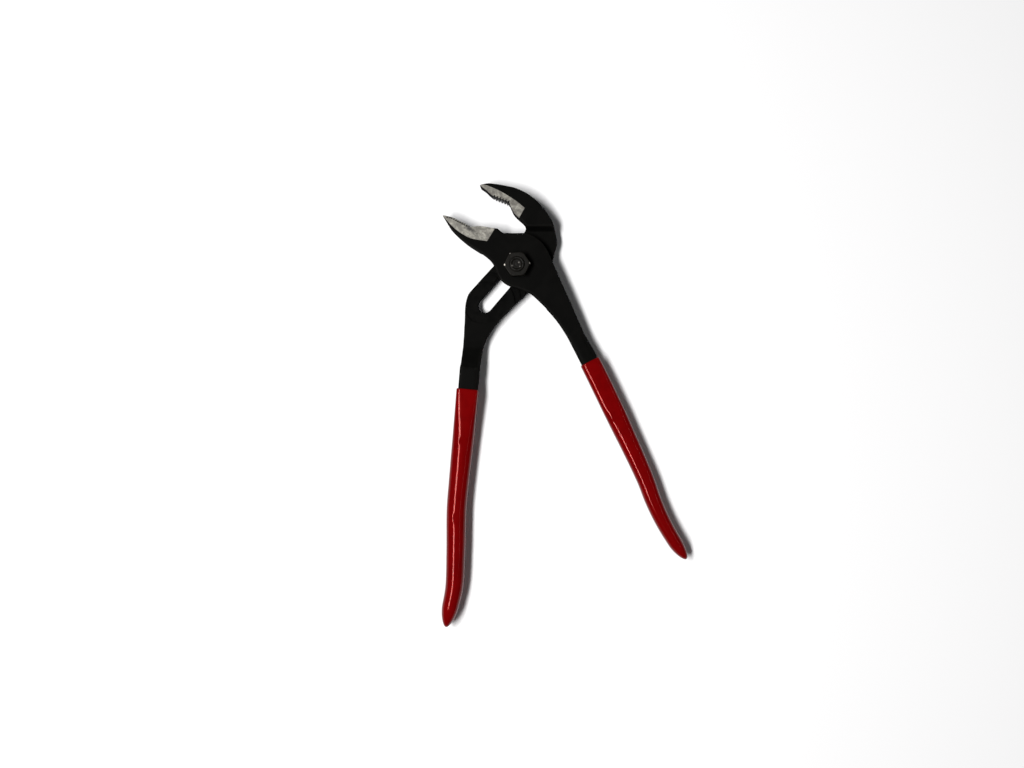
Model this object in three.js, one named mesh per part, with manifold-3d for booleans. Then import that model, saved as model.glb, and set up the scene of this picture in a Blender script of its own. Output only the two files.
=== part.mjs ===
import * as THREE from 'three';
import { mergeVertices } from 'three/addons/utils/BufferGeometryUtils.js';
import Module from 'manifold-3d';

// Tongue and groove pliers, lying flat, in millimetres.
// +Y points to the jaws, +X to the side of the tongue arm's handle and +Z to the nut.
// The origin is on the bolt's axis, at the flat underside of its head.

const wasm = await Module();
wasm.setup();

// Bolt and nut
const boltDiameter = 8;
const boltFlats = 7; // across the two flats that run in the slot
const headDiameter = 15;
const headHeight = 3;
const nutAcrossFlats = 13;
const nutHeight = 6.5;
const nutTurn = 4; // degrees that the nut's corners stand past +X
const rivetRise = 0.9; // the riveted bolt end above the nut
const rivetChamfer = 0.5;
const rivetRim = 1.4; // width of the raised rim round the riveted end
const rivetDish = 0.7; // depth inside that rim
const headChamfer = 0.8;
const headEdge = 0.2; // broken edge on the head's bearing side
const nutChamfer = 1.2; // height that the nut's turned top takes off its corners
const nutTopInset = 0.2; // from the flats to the turned top's inner edge
const boreClearance = 0.2; // round the bolt, on each side
const slotClearance = 0.2; // beside the bolt's flats, on each side
const faceGap = 0.3; // between faces that bear on each other

// Arms
const layerThickness = 6; // of each arm where the two cross
const bossRadius = 19.1; // the tongue arm's edge that covers the tongue
const bossFlat = 0.6; // taken off that edge towards the throat
const heelRadius = 12.6; // the tongue arm's edge on the handle side of the bolt
const slotAngle = 49.5; // degrees of the slot above +X
const slotRoom = 0.3; // in the slot past the bolt at its first and last places
const stepSlope = 2; // run of the sloped wall between the rails and the upper jaw
const stepRoom = 1.4; // from the boss's edge to the foot of that wall
const swingOpen = 35; // degrees the tongue arm opens from this pose
const swingShut = 30; // degrees the tongue arm closes from this pose
const railReach = 12.1; // from the bolt to the slotted arm's outer edge beside it
const neckReach = 29; // the tongue arm is a single layer this far from the bolt
const swingSpare = 1; // degrees of room under the tongue arm past each end of its swing
const bossEnd = 17; // degrees above +X where the boss's edge meets the neck
const heelFrom = -105; // degrees, the heel's edge from here
const heelTo = -170; // to here

// Along Y, where each arm's faces start to slope into its handle and where they end
const slottedFrontSlope = [-43, -58];
const slottedBackSlope = [-38, -56];
const tongueFrontSlope = [-14, -42];
const tongueBackSlope = [-20, -44];
const slottedBlankEnd = -60; // the slotted arm is a plate down to here and a bar below it

// Tongue and grooves
const grooveCount = 7;
const groovePitch = 4.7;
const tongueWidth = 2;
const tongueDepth = 1.2;
const tongueInset = 0.5; // from the boss's edge
const tongueSpread = 26; // degrees on each side of the slot's line
const grooveClearance = 0.25; // beside the tongue, on each side
const grooveSpread = 78; // degrees that the grooves run on each side of the slot's line
const landEnd = 3.4; // width of the last land, on the handle side of the last groove

// Handles and grips
const gripThickness = 11.4;
const gripWall = 0.9;
const gripGap = 0.3;

// Teeth
const toothPitch = 1.6;
const toothDepth = 0.6;
const fineToothDepth = 0.3;
const steepShare = 0.2; // of a tooth's width, on its steep side

// Heights that follow
const backFace = headHeight + faceGap;
const railFace = backFace + layerThickness;
const tongueArmBack = railFace + faceGap;
const frontFace = tongueArmBack + layerThickness;
const middle = (backFace + frontFace) / 2;
const nutSeat = frontFace + faceGap;
const nutTop = nutSeat + nutHeight;
const rivetTop = nutTop + rivetRise;
const grooveFloor = tongueArmBack - tongueDepth - faceGap;
const tongueRadius = bossRadius - tongueInset - tongueWidth / 2;
const handleInset = gripWall + gripGap;
const handleBack = middle - gripThickness / 2 + handleInset;
const handleFront = middle + gripThickness / 2 - handleInset;
const boltRadius = boltDiameter / 2;
const boltCorner = Math.sqrt(boltRadius ** 2 - (boltFlats / 2) ** 2);
const stepHeight = bossRadius + stepRoom;
const flatEdge = bossRadius - bossFlat;
const boreRadius = boltRadius + boreClearance;
const slotRadius = boltFlats / 2 + slotClearance;
const slotTravel = (grooveCount - 1) * groovePitch;
const through = 1; // how far a cut runs past what it cuts
const profileEnds = [-90, 60]; // along Y, past both ends of the plates
const profileReach = 80; // along X, past both sides of the plates
const turnedSides = 36; // flat sides that stand in for a full turn

// Down each handle, from the neck to the grip's end: x, y and the half width of the grip
const tongueHandle = [
  [32.5, -38.4, 5.6],
  [41.3, -54.6, 6],
  [57.9, -88.6, 6],
  [64.7, -103, 5.65],
  [73.8, -123.3, 5.1],
  [78, -134.8, 4.85],
  [83.3, -146.4, 4.55],
  [90.2, -158.4, 4.2],
  [97.3, -168.9, 4],
];
const slottedHandle = [
  [-27.6, -58, 6.6],
  [-28.8, -70.5, 6.4],
  [-31.7, -100.5, 6.25],
  [-34, -123.3, 5.9],
  [-35.4, -139.4, 5.75],
  [-35.9, -165.5, 5.5],
  [-36.8, -185, 5.2],
  [-39, -196, 4.85],
  [-41.6, -208.2, 4.3],
];
const mouthStation = 1; // where each grip starts
const tipLength = 12; // over which a handle's end rounds off
const tipEnd = 0.25; // share of the section left at the very end
const squareness = 0.62; // of the handles' section, 1 for a diamond and 0 for a rectangle
const sectionSides = 12;
const sectionSteps = 22; // sections down a handle

const radians = THREE.MathUtils.degToRad;
const slotDirection = new THREE.Vector2(Math.cos(radians(slotAngle)), Math.sin(radians(slotAngle)));

function solidOf(geometry) {
  const bare = geometry.clone();
  bare.deleteAttribute('normal');
  bare.deleteAttribute('uv');
  const merged = mergeVertices(bare, 1e-4);
  return new wasm.Manifold(new wasm.Mesh({
    numProp: 3,
    vertProperties: new Float32Array(merged.attributes.position.array),
    triVerts: new Uint32Array(merged.index.array),
  }));
}

function meshOf(name, solid, material) {
  const cut = solid.getMesh();
  const geometry = new THREE.BufferGeometry();
  geometry.setAttribute('position', new THREE.BufferAttribute(new Float32Array(cut.vertProperties), 3));
  geometry.setIndex(new THREE.BufferAttribute(new Uint32Array(cut.triVerts), 1));
  geometry.computeVertexNormals();
  const mesh = new THREE.Mesh(geometry, material);
  mesh.name = name;
  return mesh;
}

function plate(shape, low, high, curveSegments = 5) {
  const geometry = new THREE.ExtrudeGeometry(shape, { depth: high - low, bevelEnabled: false, curveSegments });
  geometry.translate(0, 0, low);
  return solidOf(geometry);
}

function post(radius, low, high) {
  const geometry = new THREE.CylinderGeometry(radius, radius, high - low, turnedSides);
  geometry.rotateX(Math.PI / 2);
  geometry.translate(0, 0, (low + high) / 2);
  return solidOf(geometry);
}

function polygon(points) {
  return new THREE.Shape(points.map(([x, y]) => new THREE.Vector2(x, y)));
}

function vectors(points) {
  return points.map(([x, y]) => new THREE.Vector2(x, y));
}

function handleCurve(stations) {
  return new THREE.CatmullRomCurve3(stations.map(([x, y, half]) => new THREE.Vector3(x, y, half)));
}

// A bar of rounded section along a handle, from one station to the end, smaller than the grip by inset
function handleBar(stations, firstStation, inset) {
  const curve = handleCurve(stations);
  const length = curve.getLength();
  const start = firstStation / (stations.length - 1);
  const geometry = new THREE.CylinderGeometry(1, 1, 1, sectionSides, sectionSteps);
  const position = geometry.attributes.position;
  for (let i = 0; i < position.count; i += 1) {
    const along = start + (1 - start) * (0.5 - position.getY(i));
    const t = Math.min(along, 1 - inset / length);
    const centre = curve.getPoint(t);
    const heading = curve.getTangent(t).setZ(0).normalize();
    const left = Math.max((1 - t) * length - inset, 0);
    const roundOff = left < tipLength ? Math.sqrt(1 - (1 - left / tipLength) ** 2) : 1;
    const scale = tipEnd + (1 - tipEnd) * roundOff;
    const across = -position.getZ(i);
    const up = position.getX(i);
    const sideways = Math.sign(across) * Math.abs(across) ** squareness * (centre.z - inset) * scale;
    const upwards = Math.sign(up) * Math.abs(up) ** squareness * (gripThickness / 2 - inset) * scale;
    position.setXYZ(i, centre.x - heading.y * sideways, centre.y + heading.x * sideways, middle + upwards);
  }
  return solidOf(geometry);
}

// A row of V cuts across the jaw's edge that the curve follows, with material on the curve's right
function toothCuts(curve, depth) {
  const count = Math.floor(curve.getLength() / toothPitch);
  const cuts = [];
  for (let i = 0; i < count; i += 1) {
    const at = (i + 0.5) / count;
    const heading = curve.getTangentAt(at);
    const outward = new THREE.Vector2(-heading.y, heading.x);
    const root = curve.getPointAt(at).addScaledVector(outward, -depth);
    const rise = 2 * depth + through;
    const outer = root.clone().addScaledVector(outward, rise);
    const steepSide = outer.clone().addScaledVector(heading, -steepShare * rise);
    const flatSide = outer.clone().addScaledVector(heading, (1 - steepShare) * rise);
    const section = [root, flatSide, steepSide].map((point) => point.toArray());
    cuts.push(plate(polygon(section), backFace - through, frontFace + through));
  }
  return wasm.Manifold.union(cuts);
}

function ringSector(centre, inner, outer, middleAngle, spread, low, high) {
  const from = radians(middleAngle - spread);
  const to = radians(middleAngle + spread);
  const shape = new THREE.Shape();
  shape.absarc(centre.x, centre.y, outer, from, to, false);
  shape.absarc(centre.x, centre.y, inner, to, from, true);
  return plate(shape, low, high, 10);
}

function tongueJawFront() {
  return new THREE.SplineCurve(vectors([[-42.3, 28.5], [-37.4, 27.6], [-32.9, 25.3], [-26.6, 22.1]]));
}

function slottedJawTeeth() {
  return new THREE.LineCurve(new THREE.Vector2(-4.9, 35.7), new THREE.Vector2(-13.7, 39.1));
}

function tongueArmOutline() {
  const outline = new THREE.Shape();
  outline.setFromPoints(tongueJawFront().getPoints(12)); // front gripping lobe, from the tip
  outline.splineThru(vectors([[-21.5, 22.6], [-13.5, 21.3]])); // rear gripping lobe
  outline.lineTo(-11.7, 21.4);
  outline.lineTo(-8.3, flatEdge);
  outline.absarc(0, 0, bossRadius, Math.asin(flatEdge / bossRadius), radians(bossEnd), true);
  outline.lineTo(19.9, 2.3);
  outline.lineTo(40.2, -43.6); // straight outer edge of the neck
  outline.lineTo(31.6, -47.7);
  outline.splineThru(vectors([[28.3, -40.4], [21.4, -30.1], [12.9, -21], [6, -15.3], [-3.2, -12.2]]));
  outline.absarc(0, 0, heelRadius, radians(heelFrom), radians(heelTo), true);
  outline.splineThru(vectors([[-15.7, 3], [-21.5, 7.6], [-30, 13.3], [-38.6, 21.4], [-42.3, 28.5]]));
  return outline;
}

function slottedArmOutline() {
  const outline = new THREE.Shape();
  outline.moveTo(-21.1, 46.4);
  outline.splineThru(vectors([[-15.9, 47.1], [-4.4, 45.4], [2.3, 43.1], [9.3, 38.6], [15.7, 31.8], [20.2, 24.5],
    [22.4, 14.9], [21.4, 9.2], [19.8, 3.1]])); // back of the jaw
  outline.splineThru(vectors([[16, -4], [10.5, -10], [5.9, -14.1]]));
  outline.lineTo(-10.3, -30.3); // rail on the tongue arm's side
  outline.splineThru(vectors([[-14.5, -35.5], [-17.9, -41.2], [-20.4, -47.5], [-22.4, slottedBlankEnd]]));
  outline.lineTo(-33.2, slottedBlankEnd);
  outline.splineThru(vectors([[-31.75, -45.3], [-30.9, -30.9], [-30.5, -22.2], [-29, -16.4], [-26.9, -13.5]]));
  outline.lineTo(3.6, 19.9); // outer rail
  outline.splineThru(vectors([[4.5, 21.6], [3.7, 24.2], [0.3, 27.4], [-2.6, 30.5], [-4.9, 35.7]])); // throat
  outline.lineTo(-13.7, 39.1); // toothed stretch
  outline.lineTo(-16.8, 41.6);
  return outline;
}

// What an arm fills seen from the side: its y and z, swept along X
function sideProfile(backSlope, front) {
  const [low, high] = profileEnds;
  const points = [
    [low, handleBack], [backSlope[1], handleBack], [backSlope[0], backFace],
    [high, backFace], [high, frontFace], ...front, [low, handleFront],
  ];
  const geometry = new THREE.ExtrudeGeometry(polygon(points), { depth: 2 * profileReach, bevelEnabled: false });
  geometry.rotateX(Math.PI / 2);
  geometry.rotateZ(Math.PI / 2);
  geometry.translate(-profileReach, 0, 0);
  return solidOf(geometry);
}

function slottedArmProfile() {
  return sideProfile(slottedBackSlope, [
    [stepHeight + stepSlope, frontFace], [stepHeight, railFace],
    [slottedFrontSlope[0], railFace], [slottedFrontSlope[1], handleFront],
  ]);
}

function tongueArmProfile() {
  return sideProfile(tongueBackSlope, [[tongueFrontSlope[0], frontFace], [tongueFrontSlope[1], handleFront]]);
}

function grooves() {
  const inner = tongueRadius - tongueWidth / 2 - grooveClearance;
  const outer = tongueRadius + tongueWidth / 2 + grooveClearance;
  const cuts = [];
  for (let place = 0; place < grooveCount; place += 1) {
    const centre = slotDirection.clone().multiplyScalar(-place * groovePitch);
    cuts.push(ringSector(centre, inner, outer, slotAngle, grooveSpread, grooveFloor, frontFace));
  }
  return wasm.Manifold.union(cuts);
}

// The sunk floor of the rails, from the last land to the foot of the handle
function sunkFloor() {
  const last = slotDirection.clone().multiplyScalar(-slotTravel);
  const landInner = tongueRadius - tongueWidth / 2 - grooveClearance - landEnd;
  const floor = post(landInner, grooveFloor, frontFace);
  return floor.translate([last.x, last.y, 0]);
}

function slot() {
  const shape = new THREE.Shape();
  const turn = radians(slotAngle);
  const bottom = slotDirection.clone().multiplyScalar(-slotTravel - boltCorner - slotRoom);
  const top = slotDirection.clone().multiplyScalar(boltCorner + slotRoom);
  shape.absarc(top.x, top.y, slotRadius, turn - Math.PI / 2, turn + Math.PI / 2, false);
  shape.absarc(bottom.x, bottom.y, slotRadius, turn + Math.PI / 2, turn + 1.5 * Math.PI, false);
  return plate(shape, backFace - through, frontFace + through, 12);
}

function slottedArm() {
  const head = plate(slottedArmOutline(), backFace, frontFace).intersect(slottedArmProfile());
  return head
    .add(handleBar(slottedHandle, 0, handleInset))
    .subtract(slot())
    .subtract(grooves())
    .subtract(sunkFloor())
    .subtract(toothCuts(slottedJawTeeth(), toothDepth));
}

// Space under the tongue arm that the slotted arm sweeps through as it swings and shifts
function crossingSpace() {
  const reach = railReach + faceGap;
  const lowAngle = radians(slotAngle + 90 - swingOpen - swingSpare);
  const highAngle = radians(slotAngle + 90 + swingShut + swingSpare);
  const corner = reach / Math.cos((highAngle - lowAngle) / 2);
  const bisector = (lowAngle + highAngle) / 2;
  const rimAngle = Math.acos(reach / neckReach);
  const shape = new THREE.Shape();
  shape.moveTo(corner * Math.cos(bisector), corner * Math.sin(bisector));
  shape.lineTo(neckReach * Math.cos(highAngle - rimAngle), neckReach * Math.sin(highAngle - rimAngle));
  shape.absarc(0, 0, neckReach, highAngle - rimAngle, lowAngle + rimAngle - 2 * Math.PI, true);
  return plate(shape, backFace - through, tongueArmBack, 10);
}

function tongueArm() {
  const boss = plate(tongueArmOutline(), backFace, frontFace)
    .intersect(tongueArmProfile())
    .subtract(crossingSpace());
  const tongue = ringSector(new THREE.Vector2(0, 0), tongueRadius - tongueWidth / 2,
    tongueRadius + tongueWidth / 2, slotAngle, tongueSpread, tongueArmBack - tongueDepth, tongueArmBack + through);
  return boss
    .add(tongue)
    .add(handleBar(tongueHandle, 0, handleInset))
    .subtract(post(boreRadius, -through, frontFace + through))
    .subtract(toothCuts(tongueJawFront(), fineToothDepth));
}

function grip(stations) {
  return handleBar(stations, mouthStation, 0).subtract(handleBar(stations, mouthStation - 1, gripWall));
}

function pivotBolt() {
  const head = new THREE.LatheGeometry(vectors([
    [0, 0], [headDiameter / 2 - headChamfer, 0], [headDiameter / 2, headChamfer],
    [headDiameter / 2, headHeight - headEdge], [headDiameter / 2 - headEdge, headHeight], [0, headHeight],
  ]), turnedSides);
  head.rotateX(Math.PI / 2);
  const rivet = new THREE.LatheGeometry(vectors([
    [0, nutSeat], [boltRadius, nutSeat], [boltRadius, rivetTop - rivetChamfer],
    [boltRadius - rivetChamfer, rivetTop], [boltRadius - rivetRim, rivetTop], [0, rivetTop - rivetDish],
  ]), turnedSides);
  rivet.rotateX(Math.PI / 2);
  const flats = new THREE.BoxGeometry(2 * boltDiameter, boltFlats, tongueArmBack);
  flats.translate(0, 0, tongueArmBack / 2);
  flats.rotateZ(radians(slotAngle));
  const slotShank = post(boltRadius, headHeight / 2, tongueArmBack).intersect(solidOf(flats));
  return solidOf(head)
    .add(slotShank)
    .add(post(boltRadius, tongueArmBack, nutSeat))
    .add(solidOf(rivet));
}

function pivotNut() {
  const cornerRadius = nutAcrossFlats / 2 / Math.cos(Math.PI / 6);
  const hexagon = new THREE.CylinderGeometry(cornerRadius, cornerRadius, nutHeight, 6);
  hexagon.rotateX(Math.PI / 2);
  hexagon.rotateZ(radians(nutTurn + 30));
  hexagon.translate(0, 0, nutSeat + nutHeight / 2);
  const chamfer = new THREE.LatheGeometry(vectors([
    [0, nutSeat], [cornerRadius + through, nutSeat], [cornerRadius + through, nutTop - nutChamfer],
    [nutAcrossFlats / 2 - nutTopInset, nutTop], [0, nutTop],
  ]), turnedSides);
  chamfer.rotateX(Math.PI / 2);
  return solidOf(hexagon)
    .intersect(solidOf(chamfer))
    .subtract(post(boreRadius, nutSeat - through, nutTop + through));
}

const blackSteel = new THREE.MeshStandardMaterial({ color: 0x141413, roughness: 0.42, metalness: 0.85 });
const nutSteel = new THREE.MeshStandardMaterial({ color: 0x24241f, roughness: 0.45, metalness: 0.85 });
const redVinyl = new THREE.MeshStandardMaterial({ color: 0x7a0208, roughness: 0.22, metalness: 0 });

const group = new THREE.Group();
group.add(meshOf('slotted_arm', slottedArm(), blackSteel));
group.add(meshOf('tongue_arm', tongueArm(), blackSteel));
group.add(meshOf('pivot_bolt', pivotBolt(), nutSteel));
group.add(meshOf('pivot_nut', pivotNut(), nutSteel));
group.add(meshOf('slotted_arm_grip', grip(slottedHandle), redVinyl));
group.add(meshOf('tongue_arm_grip', grip(tongueHandle), redVinyl));

export default group;
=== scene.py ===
import math

import bmesh
import bpy
import numpy as np
from mathutils import Matrix, Vector, noise


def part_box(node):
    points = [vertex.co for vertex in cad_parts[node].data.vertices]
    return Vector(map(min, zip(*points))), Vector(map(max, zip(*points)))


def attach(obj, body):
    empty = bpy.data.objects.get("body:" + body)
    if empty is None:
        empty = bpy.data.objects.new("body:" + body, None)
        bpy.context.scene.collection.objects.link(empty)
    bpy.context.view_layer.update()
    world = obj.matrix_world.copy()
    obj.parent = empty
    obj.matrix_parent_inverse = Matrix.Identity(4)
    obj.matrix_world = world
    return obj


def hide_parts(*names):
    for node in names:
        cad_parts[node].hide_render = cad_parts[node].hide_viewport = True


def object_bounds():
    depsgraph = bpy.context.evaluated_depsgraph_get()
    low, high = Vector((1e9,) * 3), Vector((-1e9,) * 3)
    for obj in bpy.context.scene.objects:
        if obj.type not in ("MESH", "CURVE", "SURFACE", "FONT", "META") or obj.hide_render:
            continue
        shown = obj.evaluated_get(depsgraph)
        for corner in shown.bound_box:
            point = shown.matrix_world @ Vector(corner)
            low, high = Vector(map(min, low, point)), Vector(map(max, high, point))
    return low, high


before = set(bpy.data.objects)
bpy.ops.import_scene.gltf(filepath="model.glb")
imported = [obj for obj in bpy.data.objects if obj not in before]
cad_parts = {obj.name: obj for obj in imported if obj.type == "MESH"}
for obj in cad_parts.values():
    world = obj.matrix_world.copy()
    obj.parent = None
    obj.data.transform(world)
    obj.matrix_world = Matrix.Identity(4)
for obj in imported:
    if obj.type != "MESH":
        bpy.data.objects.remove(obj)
cadLow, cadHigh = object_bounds()
scene = bpy.context.scene
mm = 0.001

# heights of the frame's own faces, in millimetres
backFace, frontFace = (corner.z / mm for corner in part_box("slotted_arm"))
nutSeat, nutTop = (corner.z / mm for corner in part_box("pivot_nut"))
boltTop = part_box("pivot_bolt")[1].z / mm
middle = (backFace + frontFace) / 2
faceGap = nutSeat - frontFace
railFace = backFace + (frontFace - backFace - faceGap) / 2
tongueArmBack = railFace + faceGap
through = 1.0  # how far a cutter stands past what it cuts
spare = 0.01  # how far it stands past a face that it only meets
print("frame loaded")


# outlines are lists of points in millimetres

def smoothLine(points, steps=10, evenness=0.0, easeEnds=True):
    # a smooth line through the points; evenness 0.5 keeps it tight where they are uneven
    line = np.array(points, float)
    if easeEnds:
        first, last = line[0], line[-1]
    else:
        first, last = 2 * line[0] - line[1], 2 * line[-1] - line[-2]
    line = np.vstack([first, line, last])
    made = []
    for i in range(1, len(line) - 2):
        four = line[i - 1:i + 3]
        knots = [0.0]
        for a, b in zip(four[:-1], four[1:]):
            gap = float(np.linalg.norm((b - a)[:3])) ** evenness if evenness else 1.0
            knots.append(knots[-1] + max(gap, 1e-6))
        for t in np.linspace(knots[1], knots[2], steps, endpoint=False):
            level = four
            for skip, span in ((0, 1), (0, 2), (1, 1)):
                level = [(level[k] * (knots[k + skip + span] - t) + level[k + 1] * (t - knots[k + skip]))
                         / (knots[k + skip + span] - knots[k + skip]) for k in range(len(level) - 1)]
            made.append(level[0])
    made.append(line[-2])
    return np.array(made)


def arcLine(centre, radius, startDegrees, endDegrees, steps=40):
    turn = np.radians(np.linspace(startDegrees, endDegrees, steps))
    return np.stack([centre[0] + radius * np.cos(turn), centre[1] + radius * np.sin(turn)], 1)


def outlineOf(*stretches):
    # joins stretches of points into one closed outline, without doubled points
    points = np.vstack([np.array(s, float) for s in stretches])
    kept = [points[0]]
    for p in points[1:]:
        if np.linalg.norm(p - kept[-1]) > 0.02:
            kept.append(p)
    if np.linalg.norm(kept[0] - kept[-1]) < 0.02:
        kept.pop()
    kept = np.array(kept)
    x, y = kept[:, 0], kept[:, 1]
    if np.sum(x * np.roll(y, -1) - np.roll(x, -1) * y) < 0:
        kept = kept[::-1]
    return kept


def newPiece(name, vertices, faces, material=None):
    mesh = bpy.data.meshes.new(name)
    mesh.from_pydata([tuple(float(c) * mm for c in v) for v in vertices], [], faces)
    mesh.validate()
    piece = bpy.data.objects.new(name, mesh)
    scene.collection.objects.link(piece)
    if material:
        mesh.materials.append(material)
    return piece


def prism(name, outline, low, high, material=None, sideways=False, spread=0.0):
    # a plate between two heights; spread widens its top, and sideways turns it to run along X
    count = len(outline)
    top = outline
    if spread:
        before, after = np.roll(outline, 1, 0), np.roll(outline, -1, 0)
        along = after - before
        out = np.stack([along[:, 1], -along[:, 0]], 1)
        top = outline + spread * out / np.linalg.norm(out, axis=1)[:, None]
    vertices = [(x, y, low) for x, y in outline] + [(x, y, high) for x, y in top]
    if sideways:
        vertices = [(z, x, y) for x, y, z in vertices]
    sides = [(i, (i + 1) % count, (i + 1) % count + count, i + count) for i in range(count)]
    caps = [tuple(range(count))[::-1], tuple(range(count, 2 * count))]
    return newPiece(name, vertices, caps + sides, material)


def settle(piece):
    # turns what the modifiers make into the piece's own mesh
    depsgraph = bpy.context.evaluated_depsgraph_get()
    made = bpy.data.meshes.new_from_object(piece.evaluated_get(depsgraph))
    piece.modifiers.clear()
    piece.data = made
    return piece


def combine(piece, tool, operation="DIFFERENCE", solver="MANIFOLD"):
    cut = piece.modifiers.new("cut", "BOOLEAN")
    cut.operation = operation
    cut.solver = solver
    cut.object = tool
    cut.material_mode = "TRANSFER"
    settle(piece)
    bpy.data.objects.remove(tool)
    if not len(piece.data.polygons):
        raise RuntimeError(piece.name + " vanished in a boolean")
    return piece


def coordinates(mesh):
    flat = np.empty(len(mesh.vertices) * 3)
    mesh.vertices.foreach_get("co", flat)
    return flat.reshape(-1, 3)


def moveTo(piece, places):
    piece.data.vertices.foreach_set("co", places.ravel())
    piece.data.update()


def smoothed(mesh, places, rounds, weight=0.5):
    # each round moves every place towards the mean of its neighbours
    flat = np.empty(len(mesh.edges) * 2, np.int32)
    mesh.edges.foreach_get("vertices", flat)
    a, b = flat.reshape(-1, 2).T
    size = len(places)
    count = np.maximum(np.bincount(np.concatenate([a, b]), minlength=size), 1)[:, None]
    for _ in range(rounds):
        total = np.stack([np.bincount(a, places[b, k], size) + np.bincount(b, places[a, k], size)
                          for k in range(3)], 1)
        places = places + weight * (total / count - places)
    return places


def relax(piece, rounds, share=1.0):
    # rounds the mesh off, as forging and tumbling do; share is how much of it each vertex takes
    weight = 0.5 * np.reshape(share, (-1, 1))
    moveTo(piece, smoothed(piece.data, coordinates(piece.data), rounds, weight))


def normalsOf(mesh):
    flat = np.empty(len(mesh.vertices) * 3)
    mesh.vertex_normals.foreach_get("vector", flat)
    return flat.reshape(-1, 3)


def markWear(piece, reach=10, full=0.06):
    # stores how far each vertex stands out of its surroundings, for the shaders' worn edges
    mesh = piece.data
    places = coordinates(mesh)
    wide = smoothed(mesh, places, reach)
    out = np.einsum("ij,ij->i", places - wide, normalsOf(mesh)) / mm
    setAttribute(piece, "wear", np.clip(out / full, -1, 1))


def setAttribute(piece, name, values):
    attributes = piece.data.attributes
    stored = attributes.get(name) or attributes.new(name, "FLOAT", "POINT")
    stored.data.foreach_set("value", np.asarray(values, np.float32))


def roughen(piece, height, size, seed):
    # slow swells in the forged skin
    mesh = piece.data
    places, normals = coordinates(mesh), normalsOf(mesh)
    shift = Vector((seed * 7.3, seed * 3.1, seed * 5.7))
    swell = np.array([noise.noise(Vector(p) / (size * mm) + shift) for p in places])
    moveTo(piece, places + normals * swell[:, None] * height * mm)


def drawOut(piece, tip, heading):
    # draws a jaw's tip out to the point that rounding took off
    places = coordinates(piece.data)
    away = np.linalg.norm(places[:, :2] / mm - np.array(tip), axis=1)
    pull = np.clip(1 - away / forging["tipReach"], 0, 1) ** forging["tipFade"]
    places[:, :2] += np.outer(pull, np.array(heading)) * forging["tipDraw"] * mm
    moveTo(piece, places)


def remesh(piece, voxel):
    skin = piece.modifiers.new("skin", "REMESH")
    skin.mode = "VOXEL"
    skin.voxel_size = voxel * mm
    skin.use_smooth_shade = True
    settle(piece)


def shadeByAngle(piece, degrees=32):
    piece.data.polygons.foreach_set("use_smooth", [True] * len(piece.data.polygons))
    with bpy.context.temp_override(object=piece, active_object=piece, selected_objects=[piece],
                                   selected_editable_objects=[piece]):
        bpy.ops.object.shade_smooth_by_angle(angle=math.radians(degrees), keep_sharp_edges=False)


def finishPiece(piece, body, node):
    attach(piece, body)
    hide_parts(node)
    triangles = sum(len(p.vertices) - 2 for p in piece.data.polygons)
    print(piece.name, "made,", triangles, "triangles")


def newTree(name, sockets):
    tree = bpy.data.node_groups.new(name, "GeometryNodeTree")
    tree.interface.new_socket("Geometry", in_out="INPUT", socket_type="NodeSocketGeometry")
    for label, kind, value in sockets:
        made = tree.interface.new_socket(label, in_out="INPUT", socket_type="NodeSocket" + kind)
        if value is not None:
            made.default_value = value
    tree.interface.new_socket("Geometry", in_out="OUTPUT", socket_type="NodeSocketGeometry")
    return tree, tree.nodes.new("NodeGroupInput"), tree.nodes.new("NodeGroupOutput")


def addNode(tree, kind, inputs=None, **settings):
    # an input is either another node's socket or a plain value
    node = tree.nodes.new(kind)
    for key, value in settings.items():
        setattr(node, key, value)
    for key, value in (inputs or {}).items():
        if isinstance(value, bpy.types.NodeSocket):
            tree.links.new(value, node.inputs[key])
        else:
            node.inputs[key].default_value = value
    return node


def maths(tree, operation, a, b=None, clamp=False):
    values = {0: a} if b is None else {0: a, 1: b}
    return addNode(tree, "ShaderNodeMath", values, operation=operation, use_clamp=clamp).outputs[0]


def times(tree, a, b):
    return maths(tree, "MULTIPLY", a, b)


def plus(tree, a, b):
    return maths(tree, "ADD", a, b)


def minus(tree, a, b, clamp=False):
    return maths(tree, "SUBTRACT", a, b, clamp)


def over(tree, a, b, clamp=False):
    return maths(tree, "DIVIDE", a, b, clamp)


def vectors(tree, operation, a, b=None, scale=None):
    values = {i: v for i, v in enumerate((a, b)) if v is not None}
    if scale is not None:
        values["Scale"] = scale
    node = addNode(tree, "ShaderNodeVectorMath", values, operation=operation)
    return node.outputs["Value"] if operation == "LENGTH" else node.outputs[0]


def vectorOf(tree, axis, value):
    # a vector with the value on one axis, and nothing on the others
    return addNode(tree, "ShaderNodeCombineXYZ", {axis: value}).outputs[0]


def endTree(tree, geometry, material, made):
    real = addNode(tree, "GeometryNodeRealizeInstances", {0: geometry})
    finished = addNode(tree, "GeometryNodeSetMaterial", {"Geometry": real.outputs[0], "Material": material})
    tree.links.new(finished.outputs[0], made.inputs[0])
    return tree


def runTree(piece, tree, values):
    # gives the tree its values and keeps what it makes as the piece's mesh
    work = piece.modifiers.new("tree", "NODES")
    work.node_group = tree
    for item in tree.interface.items_tree:
        if item.in_out == "INPUT" and item.name in values:
            work[item.identifier] = values[item.name]
    return settle(piece)


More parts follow.
